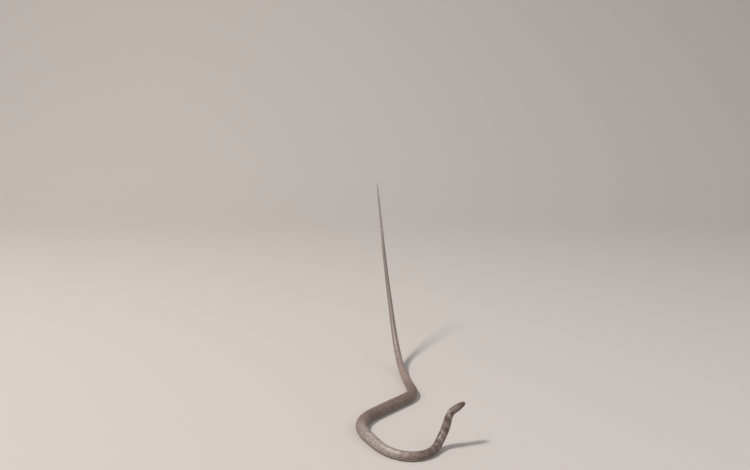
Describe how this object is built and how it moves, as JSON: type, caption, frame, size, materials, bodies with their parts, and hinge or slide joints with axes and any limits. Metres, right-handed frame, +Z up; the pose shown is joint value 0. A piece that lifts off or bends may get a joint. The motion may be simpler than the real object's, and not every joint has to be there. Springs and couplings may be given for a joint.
{
  "type": "king cobra",
  "caption": "Still life-size king cobra with its head and neck raised, its body in loops on the floor and its tail lifted behind it.",
  "frame": {"origin": "on the floor, under the middle of the whole animal's box", "axes": "+Z up; +Y from the loops and the raised head towards the lifted tail; +X the way the head looks"},
  "size_m": [0.4, 1.498, 0.796],
  "materials": {
    "skin": "smooth overlapping scales, satin, grey brown with faint pale bands",
    "eye": "clear wet gloss over a dark brown iris"
  },
  "bodies": {
    "root": {"head": "skin", "lower_jaw": "skin", "eye_left": "eye", "eye_right": "eye", "neck": "skin", "body_1": "skin", "body_2": "skin", "body_3": "skin", "body_4": "skin", "body_5": "skin", "body_6": "skin", "body_7": "skin", "tail_1": "skin", "tail_2": "skin"}
  },
  "joints": []
}
